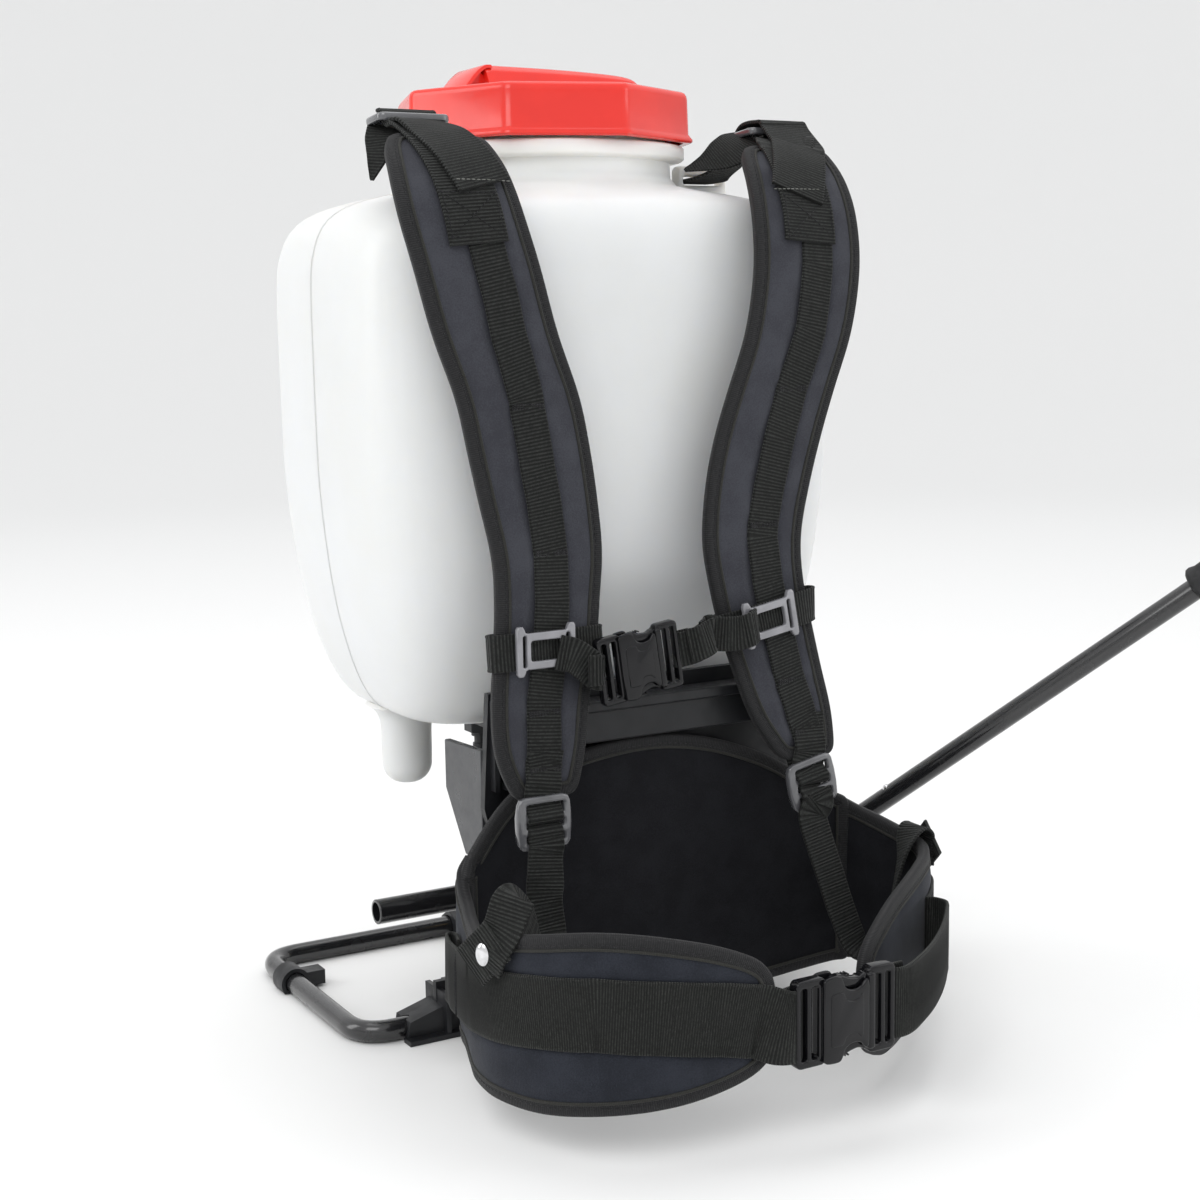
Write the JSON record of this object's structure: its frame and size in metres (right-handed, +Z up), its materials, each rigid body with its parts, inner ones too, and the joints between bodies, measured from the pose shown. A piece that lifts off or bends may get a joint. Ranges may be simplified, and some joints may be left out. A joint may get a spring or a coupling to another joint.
{
  "type": "pump sprayer",
  "caption": "Backpack lever pump sprayer: translucent tank with red screw lid, tube foot loop, side pump lever, padded shoulder straps and hip belt.",
  "frame": {"origin": "on the ground under the filler neck, in the flat underside of the foot bridge", "axes": "+Z up, -Y towards the wearer, +X to the side that carries the lever"},
  "size_m": [0.5454, 0.4248, 0.5495],
  "materials": {
    "tank": "natural translucent blow-moulded polyethylene",
    "lid": "glossy red moulding",
    "rubber": "soft black seal rubber",
    "strainer": "moulded black",
    "carrier": "satin black moulding",
    "side_plate": "satin dark grey moulding",
    "bush": "natural acetal",
    "steel_tube": "gloss black paint on steel tube",
    "grip": "ribbed soft grip",
    "button": "bright plated snap button",
    "crank": "black painted steel",
    "pin": "turned brass",
    "piston": "moulded piston",
    "cylinder": "grey moulded cylinder",
    "pump_body": "moulded black pump body",
    "outlet": "moulded hose fitting",
    "strap_pad": "charcoal knit face over foam, bound edge",
    "belt_pad": "smooth dark neoprene face over foam, bound edge",
    "webbing": "black ribbed webbing",
    "belt_webbing": "black heavy webbing",
    "buckle": "glossy black acetal",
    "rivet": "bright snap rivet"
  },
  "bodies": {
    "frame": {"tank": "tank", "filler_strainer": "strainer", "carrier_plate": "carrier", "crossbar": "carrier", "side_plate_left": "side_plate", "side_plate_right": "side_plate", "bush_left": "bush", "bush_right": "bush", "tank_cradle": "carrier", "foot_tube": "steel_tube", "foot_bridge": "carrier", "foot_bracket_left": "carrier", "foot_bracket_right": "carrier", "foot_clip_left": "carrier", "foot_clip_right": "carrier", "pump_cylinder": "cylinder", "pump_head": "pump_body", "pressure_chamber": "pump_body", "outlet_elbow": "outlet", "outlet_nut": "outlet", "shoulder_pad_left": "strap_pad", "upper_web_left": "webbing", "triglide_left": "buckle", "sternum_slider_left": "buckle", "sternum_web_left": "webbing", "hip_wing_left": "belt_pad", "hip_web_left": "belt_webbing", "lower_web_left": "webbing", "rivet_left": "rivet", "shoulder_pad_right": "strap_pad", "upper_web_right": "webbing", "triglide_right": "buckle", "sternum_slider_right": "buckle", "sternum_web_right": "webbing", "hip_wing_right": "belt_pad", "hip_web_right": "belt_webbing", "lower_web_right": "webbing", "rivet_right": "rivet", "sternum_socket": "buckle", "lumbar_pad": "belt_pad", "hip_socket": "buckle"},
    "lid_seal": {"lid_gasket": "rubber"},
    "lid_cap": {"lid": "lid", "lid_vent": "rubber"},
    "lever": {"shaft_tube": "steel_tube", "lever_tube": "steel_tube", "lever_grip": "grip", "crank_arm": "crank", "crank_pin": "pin"},
    "button": {"lever_button": "button"},
    "pump_piston": {"pump_rod": "pin", "piston": "piston", "piston_seal": "rubber"},
    "inlet_flap": {"inlet_valve": "rubber"},
    "outlet_flap": {"outlet_valve": "rubber"},
    "hip_plug_half": {"hip_plug": "buckle"},
    "sternum_plug_half": {"sternum_plug": "buckle"},
    "lock_left": {"ladder_lock_left": "buckle"},
    "lock_right": {"ladder_lock_right": "buckle"}
  },
  "joints": [
    {"name": "lid_lift", "type": "slide", "parent": "frame", "child": "lid_seal", "axis": [0, 0, 1], "range_m": [0, 0.006]},
    {"name": "lid_turn", "type": "hinge", "parent": "lid_seal", "child": "lid_cap", "pos_m": [0, 0, 0.52], "axis": [0, 0, 1], "range_deg": [0, 360]},
    {"name": "lever_swing", "type": "hinge", "parent": "frame", "child": "lever", "pos_m": [0, -0.047, 0.071], "axis": [1, 0, 0], "range_deg": [-20, 25]},
    {"name": "pump_stroke", "type": "slide", "parent": "frame", "child": "pump_piston", "axis": [0, 0, 1], "range_m": [-0.018, 0.022]},
    {"name": "button_press", "type": "slide", "parent": "lever", "child": "button", "axis": [0, 0.2873, -0.9578], "range_m": [0, 0.0025], "stiffness_N_per_m": 300},
    {"name": "inlet_lift", "type": "slide", "parent": "frame", "child": "inlet_flap", "axis": [0, 0, 1], "range_m": [0, 0.0015]},
    {"name": "outlet_lift", "type": "slide", "parent": "frame", "child": "outlet_flap", "axis": [0, 0, 1], "range_m": [0, 0.002]},
    {"name": "hip_release", "type": "slide", "parent": "frame", "child": "hip_plug_half", "axis": [1, 0, 0], "range_m": [0, 0.022]},
    {"name": "sternum_release", "type": "slide", "parent": "frame", "child": "sternum_plug_half", "axis": [1, 0, 0], "range_m": [0, 0.018]},
    {"name": "lock_tilt_left", "type": "hinge", "parent": "frame", "child": "lock_left", "pos_m": [-0.087, -0.155, 0.152], "axis": [1, 0, 0], "range_deg": [-35, 0]},
    {"name": "lock_tilt_right", "type": "hinge", "parent": "frame", "child": "lock_right", "pos_m": [0.085, -0.155, 0.152], "axis": [1, 0, 0], "range_deg": [-35, 0]}
  ],
  "couplings": [
    {"joint": "lid_lift", "follows": "lid_turn", "m_per_rad": 0.00095493},
    {"joint": "pump_stroke", "follows": "lever_swing", "m_per_rad": 0.0462}
  ]
}
